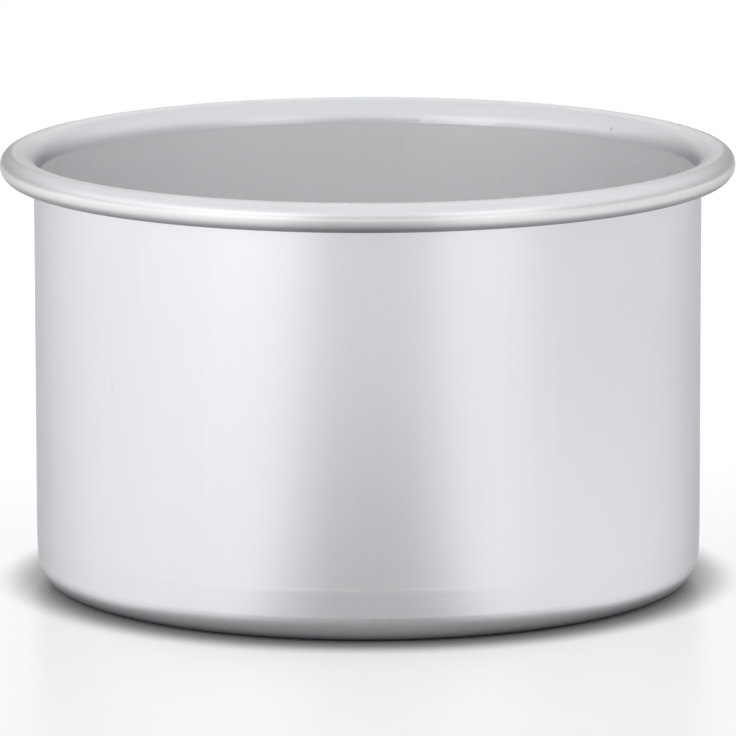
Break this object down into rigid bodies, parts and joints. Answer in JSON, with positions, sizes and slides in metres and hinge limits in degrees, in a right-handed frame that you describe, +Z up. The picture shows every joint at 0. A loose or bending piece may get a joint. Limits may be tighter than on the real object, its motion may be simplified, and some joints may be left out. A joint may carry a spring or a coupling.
{
  "type": "loose-based round cake tin",
  "caption": "Deep round cake tin of satin anodised aluminium with straight walls, a rolled rim, a rounded bottom corner and a loose push-up base disc.",
  "frame": {"origin": "where the tin's axis meets the table it stands on, at the centre of the ledge's underside", "axes": "+Z up along the tin's axis towards the open mouth; X and Y are any two square directions, because the tin is round"},
  "size_m": [0.17, 0.17, 0.101],
  "materials": {
    "shell_aluminium": "silver satin anodised, drawn and rolled sheet",
    "base_aluminium": "silver satin anodised, flat sheet"
  },
  "bodies": {
    "shell": {"tin_shell": "shell_aluminium"},
    "base": {"loose_base": "base_aluminium"}
  },
  "joints": [
    {"name": "base_lift", "type": "slide", "parent": "shell", "child": "base", "axis": [0, 0, 1], "range_m": [0, 0.11]}
  ]
}
